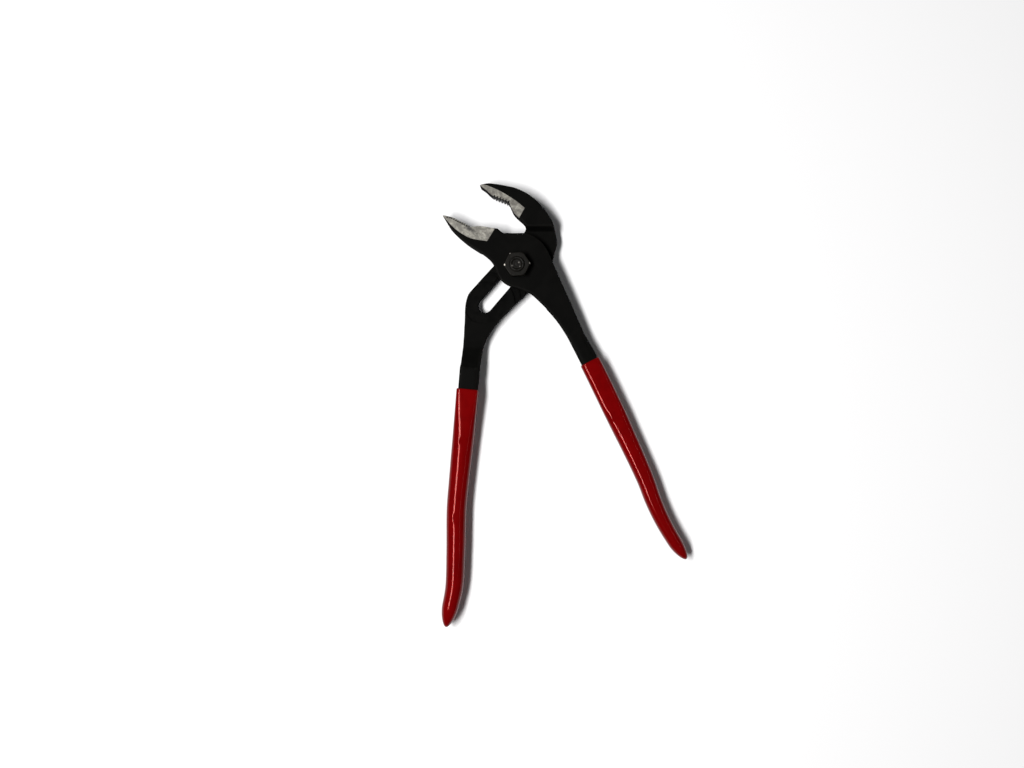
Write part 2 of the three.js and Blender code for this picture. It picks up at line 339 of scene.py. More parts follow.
def repeatTree():
    # copies of the piece's own mesh, at even steps along a line
    tree, given, made = newTree("repeatAtSteps", [
        ("Count", "Int", 3), ("Step", "Vector", (0, 0, 0)), ("Material", "Material", None)])
    places = addNode(tree, "GeometryNodeMeshLine", {"Count": given.outputs["Count"],
                                                    "Offset": given.outputs["Step"]})
    copies = addNode(tree, "GeometryNodeInstanceOnPoints", {"Points": places.outputs[0],
                                                            "Instance": given.outputs["Geometry"]})
    real = addNode(tree, "GeometryNodeRealizeInstances", {0: copies.outputs[0]})
    whole = addNode(tree, "GeometryNodeMeshBoolean", {"Mesh 2": real.outputs[0], "Self Intersection": True},
                    operation="UNION", solver="EXACT")
    return endTree(tree, whole.outputs[0], given.outputs["Material"], made)


def toothTree():
    # V cutters at even steps down the piece's line, square to it
    tree, given, made = newTree("toothCutters", [
        ("Pitch", "Float", 0.0016), ("Depth", "Float", 0.0006), ("Height", "Float", 0.014),
        ("Width", "Float", 0.97), ("Lean", "Float", 0.3), ("Material", "Material", None)])
    put = given.outputs
    line = addNode(tree, "GeometryNodeMeshToCurve", {"Mesh": put["Geometry"]})
    length = addNode(tree, "GeometryNodeCurveLength", {0: line.outputs[0]}).outputs[0]
    count = maths(tree, "FLOOR", over(tree, length, put["Pitch"]))
    step = over(tree, length, count)
    places = addNode(tree, "GeometryNodeMeshLine", {"Count": count}, count_mode="TOTAL", mode="OFFSET")
    index = addNode(tree, "GeometryNodeInputIndex").outputs[0]
    along = times(tree, plus(tree, index, 0.5), step)
    sample = addNode(tree, "GeometryNodeSampleCurve", {"Curves": line.outputs[0], "Length": along},
                     mode="LENGTH")
    out = vectors(tree, "NORMALIZE", vectors(tree, "CROSS_PRODUCT", (0, 0, 1), sample.outputs["Tangent"]))
    root = vectors(tree, "ADD", sample.outputs["Position"],
                   vectors(tree, "SCALE", out, scale=times(tree, put["Depth"], -1.0)))
    placed = addNode(tree, "GeometryNodeSetPosition", {"Geometry": places.outputs[0], "Position": root})
    # the cutter is a three-sided prism whose sharp edge points into the steel
    wedge = addNode(tree, "GeometryNodeMeshCone", {"Vertices": 3, "Radius Top": 0.001, "Radius Bottom": 0.001,
                                                   "Depth": 1.0}, fill_type="NGON")
    corner = addNode(tree, "GeometryNodeInputPosition").outputs[0]
    parts = addNode(tree, "ShaderNodeSeparateXYZ", {0: corner}).outputs
    far = maths(tree, "LESS_THAN", parts[0], 0.0)
    side = maths(tree, "SIGN", parts[1])
    rise = times(tree, put["Pitch"], put["Width"])
    across = times(tree, far, times(tree, rise, minus(
        tree, times(tree, side, 0.5), minus(tree, put["Lean"], 0.5))))
    tall = times(tree, minus(tree, parts[2], 0.5), put["Height"])
    shaped = addNode(tree, "ShaderNodeCombineXYZ", {0: across, 1: times(tree, far, rise), 2: tall})
    cutter = addNode(tree, "GeometryNodeSetPosition", {"Geometry": wedge.outputs[0],
                                                       "Position": shaped.outputs[0]})
    turn = addNode(tree, "FunctionNodeAlignEulerToVector", {"Vector": out}, axis="Y", pivot_axis="Z")
    copies = addNode(tree, "GeometryNodeInstanceOnPoints", {
        "Points": placed.outputs[0], "Instance": cutter.outputs[0], "Rotation": turn.outputs[0]})
    return endTree(tree, copies.outputs[0], put["Material"], made)


def newGroup(name, inputs, outputs):
    group = bpy.data.node_groups.new(name, "ShaderNodeTree")
    for label, kind, value in inputs:
        made = group.interface.new_socket(label, in_out="INPUT", socket_type="NodeSocket" + kind)
        made.default_value = value
    for label, kind in outputs:
        group.interface.new_socket(label, in_out="OUTPUT", socket_type="NodeSocket" + kind)
    return group, group.nodes.new("NodeGroupInput"), group.nodes.new("NodeGroupOutput")


def noiseOf(tree, vector, scale, detail, roughness, distortion=0.0):
    return addNode(tree, "ShaderNodeTexNoise", {
        "Vector": vector, "Scale": scale, "Detail": detail, "Roughness": roughness,
        "Distortion": distortion}).outputs["Fac"]


def scaleOf(tree, size):
    # a texture's scale from a size in millimetres
    return over(tree, 1000.0, size)


def mapRange(tree, value, low, high, toLow=0.0, toHigh=1.0):
    return addNode(tree, "ShaderNodeMapRange", {0: value, 1: low, 2: high, 3: toLow, 4: toHigh}).outputs[0]


def grainGroup():
    # fine skin: a speckle mask, slow patches and a height, all from position
    group, given, made = newGroup("skinGrain", [
        ("Vector", "Vector", (0, 0, 0)), ("Size", "Float", 0.5), ("Patch Size", "Float", 6.0)],
        [("Speckle", "Float"), ("Patches", "Float"), ("Height", "Float")])
    vector, size, patchSize = given.outputs[:3]
    finest = noiseOf(group, vector, scaleOf(group, size), 3.0, 0.6)
    patches = noiseOf(group, vector, scaleOf(group, patchSize), 4.0, 0.55, 0.6)
    pits = addNode(group, "ShaderNodeTexVoronoi", {
        "Vector": vector, "Scale": scaleOf(group, times(group, size, 2.2))}, feature="F1").outputs["Distance"]
    height = plus(group, finest, times(group, maths(group, "MINIMUM", pits, 0.35), 0.8))
    for label, value in (("Speckle", mapRange(group, finest, 0.35, 0.68)),
                         ("Patches", mapRange(group, patches, 0.38, 0.64)), ("Height", height)):
        group.links.new(value, made.inputs[label])
    return group


def wearGroup():
    # where edges and corners have rubbed bare, broken up by noise
    group, given, made = newGroup("edgeWear", [
        ("Vector", "Vector", (0, 0, 0)), ("Edge", "Float", 0.0), ("Start", "Float", 0.5),
        ("Full", "Float", 0.9), ("Break Up", "Float", 0.4), ("Break Up Size", "Float", 1.5)],
        [("Mask", "Float")])
    put = given.outputs
    broken = noiseOf(group, put["Vector"], scaleOf(group, put["Break Up Size"]), 5.0, 0.65)
    shifted = plus(group, put["Edge"], times(group, minus(group, broken, 0.5), put["Break Up"]))
    group.links.new(mapRange(group, shifted, put["Start"], put["Full"]), made.inputs["Mask"])
    return group


def filmGroup():
    # a thin film of grime and handling marks, as a mask
    group, given, made = newGroup("handlingFilm", [
        ("Vector", "Vector", (0, 0, 0)), ("Size", "Float", 14.0), ("Amount", "Float", 0.5)],
        [("Mask", "Float")])
    vector, size, amount = given.outputs[:3]
    cloud = noiseOf(group, vector, scaleOf(group, size), 6.0, 0.7, 0.8)
    group.links.new(times(group, mapRange(group, cloud, 0.42, 0.7), amount), made.inputs["Mask"])
    return group


skinGrain, edgeWear, handlingFilm = grainGroup(), wearGroup(), filmGroup()


def newMaterial(name, constants):
    # what is the same all over the surface is set on the shader's own sockets
    material = bpy.data.materials.new(name)
    material.use_nodes = True
    shader = material.node_tree.nodes["Principled BSDF"]
    for key, value in constants.items():
        shader.inputs[key].default_value = value
    return material, material.node_tree, shader


def useGroup(tree, group, values):
    return addNode(tree, "ShaderNodeGroup", values, node_tree=group).outputs


def mixColour(tree, share, a, b):
    a, b = (c if isinstance(c, bpy.types.NodeSocket) else (*c, 1.0) for c in (a, b))
    return addNode(tree, "ShaderNodeMix", {0: share, 6: a, 7: b}, data_type="RGBA").outputs[2]


def startSkin(name, look):
    # a finish that begins with its grain
    material, tree, shader = newMaterial(name, look["constants"])
    spot = addNode(tree, "ShaderNodeTexCoord").outputs["Object"]
    grain = useGroup(tree, skinGrain, {"Vector": spot, "Size": look["grain"], "Patch Size": look["patch"]})
    return material, tree, shader, spot, grain


def attributeOf(tree, name):
    return addNode(tree, "ShaderNodeAttribute", attribute_name=name).outputs["Fac"]


def wornMask(tree, spot, look):
    edge = attributeOf(tree, "wear")
    return useGroup(tree, edgeWear, {"Vector": spot, "Edge": edge, **look["wear"]})["Mask"]


def filmMask(tree, spot, look):
    return useGroup(tree, handlingFilm, {"Vector": spot, **look["film"]})["Mask"]


def feedShader(tree, shader, look, height, wires):
    # height is for the bump, and the wires go to the sockets that change over the surface
    for key, value in wires.items():
        tree.links.new(value, shader.inputs[key])
    strength, distance = look["bump"]
    bump = addNode(tree, "ShaderNodeBump", {"Height": height, "Strength": strength, "Distance": distance * mm})
    tree.links.new(bump.outputs[0], shader.inputs["Normal"])


blackening = {
    "colour": (0.0022, 0.0022, 0.002), "paler": (0.0034, 0.0033, 0.003), "bare": (0.008, 0.0076, 0.007),
    "grain": 0.35, "patch": 9.0, "speckle": 0.35, "film": {"Size": 17.0, "Amount": 0.6},
    "wear": {"Start": 0.7, "Full": 1.5, "Break Up": 0.9, "Break Up Size": 1.2},
    "smooth": 0.46, "rough": 0.56, "sideRough": 0.38, "metallic": (0.0, 0.3), "bump": (0.35, 0.02),
    "constants": {"Specular IOR Level": 0.09, "IOR": 1.2, "Specular Tint": (0.5, 0.5, 0.5, 1)},
}


def blackSteelMaterial():
    look = blackening
    material, tree, shader, spot, grain = startSkin("blackSteel", look)
    worn = wornMask(tree, spot, look)
    skin = mixColour(tree, grain["Patches"], look["colour"], look["paler"])
    skin = mixColour(tree, times(tree, grain["Speckle"], look["speckle"]), skin, look["paler"])
    dull = plus(tree, times(tree, grain["Patches"], 0.6), filmMask(tree, spot, look))
    rough = mapRange(tree, dull, 0.0, 1.2, look["smooth"], look["rough"])
    walls = mapRange(tree, attributeOf(tree, "side"), 0.25, 0.9, 0.0, look["sideRough"])
    feedShader(tree, shader, look, grain["Height"], {
        "Base Color": mixColour(tree, worn, skin, look["bare"]), "Roughness": plus(tree, rough, walls),
        "Metallic": mapRange(tree, worn, 0.0, 1.0, *look["metallic"])})
    return material


grinding = {
    "colour": (0.16, 0.152, 0.132), "dark": (0.04, 0.036, 0.03), "pale": (0.34, 0.33, 0.29),
    "brown": (0.06, 0.045, 0.04), "soot": (0.012, 0.011, 0.01), "grain": 0.5, "patch": 3.2,
    "blotchScale": 620.0, "speckScale": 1400.0, "upperJaw": (0.024, 0.032),
    "lineLength": 6.0, "lineWidth": 0.16, "turn": 34.0, "lines": 0.4,
    "smudgeAt": (-27.3, 20.9, 0.0), "smudgeTurn": 31.0, "smudgeLength": 4.0, "smudgeWidth": 1.5,
    "metallic": (0.4, 0.55), "rough": (0.42, 0.64), "bump": (0.5, 0.03), "constants": {},
}


def groundSteelMaterial():
    # blackening ground off the jaws' sides: pale, blotched, with the wheel's fine lines
    look = grinding
    material, tree, shader, spot, grain = startSkin("groundSteel", look)
    across, down = 1000 / look["lineWidth"], 1000 / look["lineLength"]
    turned = addNode(tree, "ShaderNodeMapping", {
        "Vector": spot, "Rotation": (0, 0, math.radians(look["turn"])), "Scale": (down, across, down)})
    lines = noiseOf(tree, turned.outputs[0], 1.0, 3.0, 0.6)
    blotch = noiseOf(tree, spot, look["blotchScale"], 5.0, 0.62, 0.5)
    colour = mixColour(tree, mapRange(tree, blotch, 0.38, 0.66), look["colour"], look["pale"])
    colour = mixColour(tree, mapRange(tree, grain["Patches"], 0.2, 1.0, 0.6, 0.0), colour, look["dark"])
    # the upper jaw is browner than the lower one
    specks = mapRange(tree, noiseOf(tree, spot, look["speckScale"], 3.0, 0.6), 0.52, 0.7)
    upper = addNode(tree, "ShaderNodeSeparateXYZ", {0: spot}).outputs[1]
    shade = times(tree, specks, mapRange(tree, upper, *look["upperJaw"], 0.3, 0.75))
    colour = mixColour(tree, shade, colour, look["brown"])
    colour = mixColour(tree, mapRange(tree, lines, 0.5, 0.8, 0.0, look["lines"]), colour, look["dark"])
    # one dark smudge of blackening is left on the lower jaw
    placed = vectors(tree, "SUBTRACT", spot, tuple(c * mm for c in look["smudgeAt"]))
    turned = addNode(tree, "ShaderNodeVectorRotate", {
        "Vector": placed, "Angle": math.radians(look["smudgeTurn"])}, rotation_type="Z_AXIS")
    narrow = vectors(tree, "MULTIPLY", turned.outputs[0],
                     (1 / (look["smudgeLength"] * mm), 1 / (look["smudgeWidth"] * mm), 0.0))
    smudge = plus(tree, vectors(tree, "LENGTH", narrow), times(tree, minus(tree, blotch, 0.5), 2.4))
    colour = mixColour(tree, mapRange(tree, smudge, 0.2, 1.3, 0.92, 0.0), colour, look["soot"])
    feedShader(tree, shader, look, plus(tree, lines, times(tree, grain["Height"], 0.6)), {
        "Base Color": colour, "Roughness": mapRange(tree, blotch, 0.3, 0.7, *look["rough"]),
        "Metallic": mapRange(tree, grain["Patches"], 0.0, 1.0, *look["metallic"])})
    return material


cutting = {
    "colour": (0.0018, 0.0018, 0.0017), "paler": (0.0034, 0.0033, 0.003), "grain": 0.3, "patch": 5.0,
    "lines": (400, 400, 6000), "rough": (0.32, 0.46), "metallic": (0.0, 0.02), "bump": (0.25, 0.02),
    "constants": {"Specular IOR Level": 0.1, "IOR": 1.2, "Specular Tint": (0.35, 0.35, 0.35, 1)},
}


def cutSteelMaterial():
    # machined tooth flanks, grooves and slot walls: blackened, with the cutter's lines
    look = cutting
    material, tree, shader, spot, grain = startSkin("cutSteel", look)
    stretched = addNode(tree, "ShaderNodeMapping", {"Vector": spot, "Scale": look["lines"]})
    waves = noiseOf(tree, stretched.outputs[0], 1.0, 2.0, 0.5)
    feedShader(tree, shader, look, waves, {
        "Base Color": mixColour(tree, grain["Patches"], look["colour"], look["paler"]),
        "Roughness": mapRange(tree, waves, 0.3, 0.7, *look["rough"]),
        "Metallic": mapRange(tree, grain["Speckle"], 0.0, 1.0, *look["metallic"])})
    return material


plating = {
    "colour": (0.003, 0.0028, 0.0022), "paler": (0.0046, 0.0042, 0.0033), "grime": (0.0068, 0.0056, 0.004),
    # the palest colour is painted on as highlights: on the riveted end, and on the nut's rubbed corners
    "bare": (0.022, 0.02, 0.016), "paintedGlintAndWear": (0.9, 0.84, 0.76), "grain": 0.28, "patch": 2.6,
    "film": {"Size": 4.0, "Amount": 0.7}, "rough": (0.34, 0.5), "metallic": 0.06, "bump": (0.4, 0.02),
    "wear": {"Start": 0.45, "Full": 1.2, "Break Up": 0.8, "Break Up Size": 0.9},
    "constants": {"Specular IOR Level": 0.2, "IOR": 1.25},
}


def boltSteelMaterial():
    # the bolt's and nut's dark plating, with a few pale spots painted on: highlights on the riveted end, and rubbed
    # corners on the nut that are partly painted highlights
    look = plating
    material, tree, shader, spot, grain = startSkin("boltSteel", look)
    worn = wornMask(tree, spot, look)
    skin = mixColour(tree, grain["Patches"], look["colour"], look["paler"])
    skin = mixColour(tree, filmMask(tree, spot, look), skin, look["grime"])
    skin = mixColour(tree, times(tree, worn, 0.5), skin, look["bare"])
    feedShader(tree, shader, look, grain["Height"], {
        # near-white paint where the painted highlights and the rubbed, painted-lit corners lie
        "Base Color": mixColour(tree, attributeOf(tree, "paintedGlintAndWear"), skin, look["paintedGlintAndWear"]),
        "Roughness": mapRange(tree, grain["Speckle"], 0.0, 1.0, *look["rough"]),
        "Metallic": maths(tree, "ADD", times(tree, worn, 0.3), look["metallic"], clamp=True)})
    return material


vinyl = {
    "colour": (0.138, 0.0008, 0.0011), "deep": (0.1, 0.0005, 0.0008), "fleck": (0.2, 0.002, 0.004),
    "flecks": 0.12, "grain": 1.1, "patch": 12.0, "film": {"Size": 9.0, "Amount": 0.8},
    "rough": (0.1, 0.14), "bump": (0.05, 0.03),
    "constants": {"Specular IOR Level": 0.5, "IOR": 1.25, "Specular Tint": (1.0, 0.16, 0.13, 1),
                  "Coat Weight": 0.05, "Coat Roughness": 0.05},
}


def redVinylMaterial():
    # dipped vinyl: even colour, a little deeper in slow clouds, wet gloss with faint orange peel
    look = vinyl
    material, tree, shader, spot, grain = startSkin("redVinyl", look)
    colour = mixColour(tree, filmMask(tree, spot, look), look["colour"], look["deep"])
    colour = mixColour(tree, times(tree, grain["Speckle"], look["flecks"]), colour, look["fleck"])
    feedShader(tree, shader, look, grain["Height"], {
        "Base Color": colour, "Roughness": mapRange(tree, grain["Patches"], 0.0, 1.0, *look["rough"])})
    return material


blackSteel, groundSteel, cutSteel = blackSteelMaterial(), groundSteelMaterial(), cutSteelMaterial()
boltSteel, redVinyl = boltSteelMaterial(), redVinylMaterial()
print("materials made")

handles = {
    # down each handle: x, y, half width over the grip, squareness of the grip, squareness of the steel
    "tongue": [
        (32.5, -38.4, 5.5, 0.4, 0.3), (41.3, -54.6, 6.0, 0.46, 0.4), (54.6, -81.8, 6.05, 0.5, 0.5),
        (57.9, -88.6, 6.0, 0.6, 0.6), (60.3, -93.7, 5.9, 0.68, 0.68), (64.7, -103, 5.65, 0.7, 0.7),
        (73.8, -123.3, 5.1, 0.7, 0.7), (78.0, -134.8, 4.85, 0.72, 0.72), (83.3, -146.4, 4.55, 0.76, 0.76),
        (90.2, -158.4, 4.2, 0.8, 0.8), (97.3, -168.9, 4, 0.85, 0.85)],
    "slotted": [
        (-27.6, -58, 6.6, 0.25, 0.25), (-28.8, -70.5, 6.4, 0.26, 0.25), (-29.95, -82.5, 6.35, 0.42, 0.42),
        (-31.7, -100.5, 6.25, 0.8, 0.8), (-34, -123.3, 5.9, 0.9, 0.9), (-35.4, -139.4, 5.75, 0.92, 0.92),
        (-35.9, -165.5, 5.5, 0.92, 0.92), (-36.8, -185, 5.2, 0.92, 0.92), (-39, -196, 4.85, 0.92, 0.92),
        (-41.6, -208.2, 4.3, 0.92, 0.92)],
    "thickness": 11.4, "wall": 0.75, "steelInset": 0.88, "tipLength": 12.0,
}


def handleLine(stations, first=0):
    line = smoothLine([(x, y, half, soft, steel) for x, y, half, soft, steel in stations], 14, 0.5, False)
    return line[14 * first:]


def handleBar(name, stations, around=40):
    # the steel core of a handle
    line = handleLine(stations)
    inset, tip = handles["steelInset"], handles["tipLength"]
    run = np.concatenate([[0], np.cumsum(np.linalg.norm(np.diff(line[:, :2], axis=0), axis=1))])
    end = run[-1] - inset
    rings = []
    for s in np.linspace(0, end - 0.02, 220):
        x, y, half, _, square = (np.interp(s, run, line[:, k]) for k in range(5))
        ahead = [np.interp(s + 0.5, run, line[:, k]) - np.interp(s - 0.5, run, line[:, k]) for k in range(2)]
        heading = np.array(ahead) / np.linalg.norm(ahead)
        left = min(1.0, (end - s) / tip)
        scale = math.sqrt(max(1 - (1 - left) ** 2, 0.0))
        turn = np.arange(around) / around * 2 * math.pi
        side, up = (np.sign(wave) * np.abs(wave) ** square * (size - inset) * scale
                    for wave, size in ((np.cos(turn), half), (np.sin(turn), handles["thickness"] / 2)))
        rings.append(np.stack([x + heading[1] * side, y - heading[0] * side, middle + up], 1))
    faces = []
    for r in range(len(rings) - 1):
        for k in range(around):
            a, b = r * around + k, r * around + (k + 1) % around
            faces.append((a, a + around, b + around, b))
    faces.append(tuple(range(around)))
    faces.append(tuple(range((len(rings) - 1) * around, len(rings) * around))[::-1])
    bar = newPiece(name, np.vstack(rings), faces)
    sureOutwards(bar)
    return bar


def sureOutwards(piece):
    work = bmesh.new()
    work.from_mesh(piece.data)
    bmesh.ops.remove_doubles(work, verts=work.verts, dist=1e-7)
    bmesh.ops.recalc_face_normals(work, faces=work.faces)
    work.to_mesh(piece.data)
    work.free()
    piece.data.update()

slotTurn = 49.5
slotLine = np.array([math.cos(math.radians(slotTurn)), math.sin(math.radians(slotTurn))])
grooving = {"count": 7, "pitch": 4.7, "inner": 16.35, "outer": 18.85, "spread": 78.0, "floor": 8.1,
            "sunkRadius": 12.95}
slotCut = {"half": 3.9, "room": 1.5, "chamfer": 1.0, "chamferDepth": 1.3}
forging = {"voxel": 0.42, "rounds": 7, "neckRounds": 8, "neckReach": 7.0, "backRounds": 26,
           "tipDraw": 1.1, "tipReach": 5.0, "tipFade": 1.5, "swell": 0.05, "swellSize": 9.0}
grindDepth = 0.25
coreBack, coreFront = 4.95, 13.95  # where the arms' steel lies inside the grips

slottedShape = {
    "neck": (-27.8, -60.0), "tip": (-20.6, 46.3), "tipHeading": (-0.95, -0.35), "seed": 10,
    "teeth": [(-4.4, 35.5), (-14.2, 39.3)], "toothPitch": 1.75, "toothDepth": 1.6, "toothLean": 0.3,
    # from the handle's end to the jaw: place down the arm and height
    "back": [(-90, coreBack), (-56, coreBack), (-38, backFace - spare), (60, backFace - spare)],
    "front": [(60, frontFace + spare), (22.5, frontFace + spare), (20.5, railFace), (-43, railFace),
              (-47, 9.75), (-57, 13.5), (-61, coreFront), (-90, coreFront)],
}


def slottedOutline():
    return outlineOf(
        smoothLine([(-21.1, 46.4), (-15.9, 47.1), (-4.4, 45.4), (2.3, 43.1), (9.3, 38.6), (15.7, 31.8),
                    (20.2, 24.5), (22.4, 14.9), (21.4, 9.2), (19.8, 3.1)]),
        smoothLine([(19.8, 3.1), (16, -4), (10.5, -10), (5.9, -14.1)]),
        smoothLine([(-10.3, -30.3), (-14.5, -35.5), (-17.9, -41.2), (-20.4, -47.5), (-22.4, -60)]),
        smoothLine([(-33.2, -60), (-31.75, -45.3), (-30.9, -30.9), (-30.5, -22.2), (-29, -16.4),
                    (-26.9, -13.5)]),
        smoothLine([(3.6, 19.9), (4.5, 21.6), (3.7, 24.2), (0.3, 27.4), (-2.6, 30.5), (-4.9, 35.7)]),
        [(-13.7, 39.1), (-16.8, 41.6)])


def slotOutline(half, room):
    last = -slotLine * (grooving["count"] - 1) * grooving["pitch"]
    return outlineOf(
        arcLine(slotLine * room, half, slotTurn - 90, slotTurn + 90, 24),
        arcLine(last - slotLine * room, half, slotTurn + 90, slotTurn + 270, 24))


def ringSector(name, inner, outer, spread, low, high):
    return prism(name, outlineOf(
        arcLine((0, 0), outer, slotTurn - spread, slotTurn + spread, 60),
        arcLine((0, 0), inner, slotTurn + spread, slotTurn - spread, 60)), low, high)


def sunkOutline():
    # the sunk floor's rim: round the last place above, and a flatter arc at the foot of the handle
    last = -slotLine * (grooving["count"] - 1) * grooving["pitch"]
    footCentre, footRadius = np.array((-20.1, -18.7)), 14.1
    points = []
    for angle in np.radians(np.arange(0, 360, 4)):
        ray = np.array((math.cos(angle), math.sin(angle)))
        offset = last - footCentre
        reach = -ray @ offset + math.sqrt((ray @ offset) ** 2 - offset @ offset + footRadius ** 2)
        points.append(last + ray * min(reach, grooving["sunkRadius"]))
    return np.array(points)


def lineObject(name, points, height=middle):
    mesh = bpy.data.meshes.new(name)
    edges = [(i, i + 1) for i in range(len(points) - 1)]
    mesh.from_pydata([(x * mm, y * mm, height * mm) for x, y in points], edges, [])
    made = bpy.data.objects.new(name, mesh)
    scene.collection.objects.link(made)
    return made


toothCutters, repeatAtSteps = toothTree(), repeatTree()


def toothTool(points, pitch, depth, lean):
    tool = lineObject("teeth", points)
    return runTree(tool, toothCutters, {
        "Pitch": pitch * mm, "Depth": depth * mm, "Lean": lean,
        "Width": 0.97,
        "Height": (frontFace - backFace + 2 * through) * mm, "Material": cutSteel})


def grind(piece, outline):
    # takes the blackening and a hair of steel off both sides of a jaw
    combine(piece, prism("grind", outline, frontFace - grindDepth, frontFace + through, groundSteel))
    combine(piece, prism("grind", outline, backFace - through, backFace + grindDepth, groundSteel))


def forge(piece, shape, back=None):
    # skins the blank, rounds its edges, blends the neck and swells the skin a little
    remesh(piece, forging["voxel"])
    relax(piece, forging["rounds"])
    away = np.linalg.norm(coordinates(piece.data)[:, :2] / mm - np.array(shape["neck"]), axis=1)
    relax(piece, forging["neckRounds"], np.clip(2 - 2 * away / forging["neckReach"], 0, 1))
    if back is not None:
        relax(piece, forging["backRounds"], back(coordinates(piece.data) / mm))
    drawOut(piece, shape["tip"], shape["tipHeading"])
    markWear(piece)
    setAttribute(piece, "side", 1 - np.abs(normalsOf(piece.data)[:, 2]))
    roughen(piece, forging["swell"], forging["swellSize"], shape["seed"])


def plate(name, outline, shape):
    # an arm's blank: its outline, cut to its profile seen from the side
    arm = prism(name, outline, backFace, frontFace, blackSteel)
    side = prism("side", outlineOf(shape["back"], shape["front"]), -80, 80, blackSteel, sideways=True)
    return combine(arm, side, "INTERSECT")


def cutTeeth(arm, line, shape):
    combine(arm, toothTool(line, shape["toothPitch"], shape["toothDepth"], shape["toothLean"]))


def makeSlottedArm():
    arm = plate("slottedArm", slottedOutline(), slottedShape)
    combine(arm, handleBar("bar", handles["slotted"]), "UNION")
    slot = slotOutline(slotCut["half"], slotCut["room"])
    combine(arm, prism("slot", slot, backFace - through, frontFace + through, blackSteel))
    combine(arm, prism("slotEdge", slot, railFace - slotCut["chamferDepth"] - 1.2, railFace + 0.6, blackSteel,
                       spread=slotCut["chamfer"]))

    def jawBack(places):
        # the jaw's outer back is rounded over more than the rest
        across = np.linalg.norm(places[:, :2] - np.array((-3.0, 20.0)), axis=1)
        return np.clip((across - 21.5) / 3, 0, 1) * np.clip((places[:, 1] - 18) / 8, 0, 1) * np.clip(
            (places[:, 0] + 12) / 6, 0, 1)

    forge(arm, slottedShape, jawBack)
    groove = ringSector("grooves", grooving["inner"], grooving["outer"], grooving["spread"],
                        grooving["floor"], frontFace)
    runTree(groove, repeatAtSteps, {"Count": grooving["count"],
                                    "Step": tuple(-slotLine * grooving["pitch"] * mm) + (0,),
                                    "Material": cutSteel})
    combine(arm, groove)
    combine(arm, prism("sunk", sunkOutline(), grooving["floor"], frontFace, cutSteel))
    grind(arm, outlineOf(
        smoothLine([(-24.5, 47.2), (-21.5, 46.3), (-18.0, 45.9), (-10.0, 42.5), (-1.5, 37.3), (4.07, 32.85)]),
        [(0.7, 26.7), (-3, 24.5), (-6.5, 33), (-5.5, 36.4), (-14.0, 39.7), (-15.5, 39.0), (-28, 44.5)]))
    cutTeeth(arm, slottedShape["teeth"], slottedShape)
    shadeByAngle(arm)
    finishPiece(arm, "slotted_arm", "slotted_arm")


makeSlottedArm()

tongue = {"inner": 16.6, "outer": 18.6, "spread": 26.0, "drop": 1.2}
boss = {"radius": 19.1, "heel": 12.6, "flat": 0.6, "bore": 4.2}
crossing = {"reach": 12.4, "neck": 29.0, "low": 103.5, "high": 170.5, "room": 0.05}

tongueShape = {
    "neck": (35.9, -45.6), "tip": (-42.0, 28.2), "tipHeading": (-0.9, 0.45), "seed": 9,
    "teeth": [(-40.6, 28.4), (-37.4, 27.6), (-32.9, 25.3), (-28.2, 22.9)],
    "toothPitch": 1.3, "toothDepth": 0.16, "toothLean": 0.4,
    "back": [(-90, coreBack), (-44, coreBack), (-20, backFace - spare), (60, backFace - spare)],
    "front": [(60, frontFace + spare), (-14, frontFace + spare), (-42, coreFront), (-90, coreFront)],
}


def tongueOutline():
    start = math.degrees(math.asin((boss["radius"] - boss["flat"]) / boss["radius"]))
    return outlineOf(
        smoothLine([(-42.3, 28.5), (-37.4, 27.6), (-32.9, 25.3), (-26.6, 22.1)], 12),
        smoothLine([(-26.6, 22.1), (-21.5, 22.6), (-13.5, 21.3)]),
        [(-11.7, 21.4)],
        [(-8.3, boss["radius"] - boss["flat"])],
        arcLine((0, 0), boss["radius"], start, 17, 50),
        [(19.9, 2.3), (40.2, -43.6)],
        smoothLine([(32.2, -47.9), (28.5, -40.7), (21.4, -30.1), (12.9, -21), (6, -15.3), (-3.2, -12.2)]),
        arcLine((0, 0), boss["heel"], -105, -170, 30),
        smoothLine([(-12.4, -2.2), (-15.7, 3), (-21.5, 7.6), (-30, 13.3), (-38.6, 21.4), (-42.3, 28.5)]))


def crossingOutline():
    # the room under the tongue arm that the slotted arm passes through
    reach, neck = crossing["reach"], crossing["neck"]
    low, high = math.radians(crossing["low"]), math.radians(crossing["high"])
    bisector, rim = (low + high) / 2, math.acos(reach / neck)
    corner = reach / math.cos((high - low) / 2)
    return outlineOf(
        [(corner * math.cos(bisector), corner * math.sin(bisector))],
        arcLine((0, 0), neck, math.degrees(high - rim), math.degrees(low + rim) - 360, 120))


def makeTongueArm():
    arm = plate("tongueArm", tongueOutline(), tongueShape)
    combine(arm, prism("crossing", crossingOutline(), backFace - through, tongueArmBack - crossing["room"],
                       blackSteel))
    combine(arm, handleBar("bar", handles["tongue"]), "UNION")
    forge(arm, tongueShape)
    combine(arm, prism("level", crossingOutline(), railFace - 2, tongueArmBack, cutSteel))
    combine(arm, ringSector("tongue", tongue["inner"], tongue["outer"], tongue["spread"],
                            tongueArmBack - tongue["drop"], tongueArmBack + 2), "UNION")
    combine(arm, prism("bore", arcLine((0, 0), boss["bore"], 0, 352, 48), -through, frontFace + through,
                       cutSteel))
    grind(arm, outlineOf(
        smoothLine([(-44.5, 30.5), (-42.5, 28.0), (-35.7, 20.8), (-27.1, 15.6), (-17.4, 13.9)]),
        [(-12.6, 21.7), (-11.9, 23.6), (-24, 27.5), (-40, 33)]))
    cutTeeth(arm, smoothLine(tongueShape["teeth"], 12)[::-1], tongueShape)
    shadeByAngle(arm)
    finishPiece(arm, "tongue_arm", "tongue_arm")


makeTongueArm()


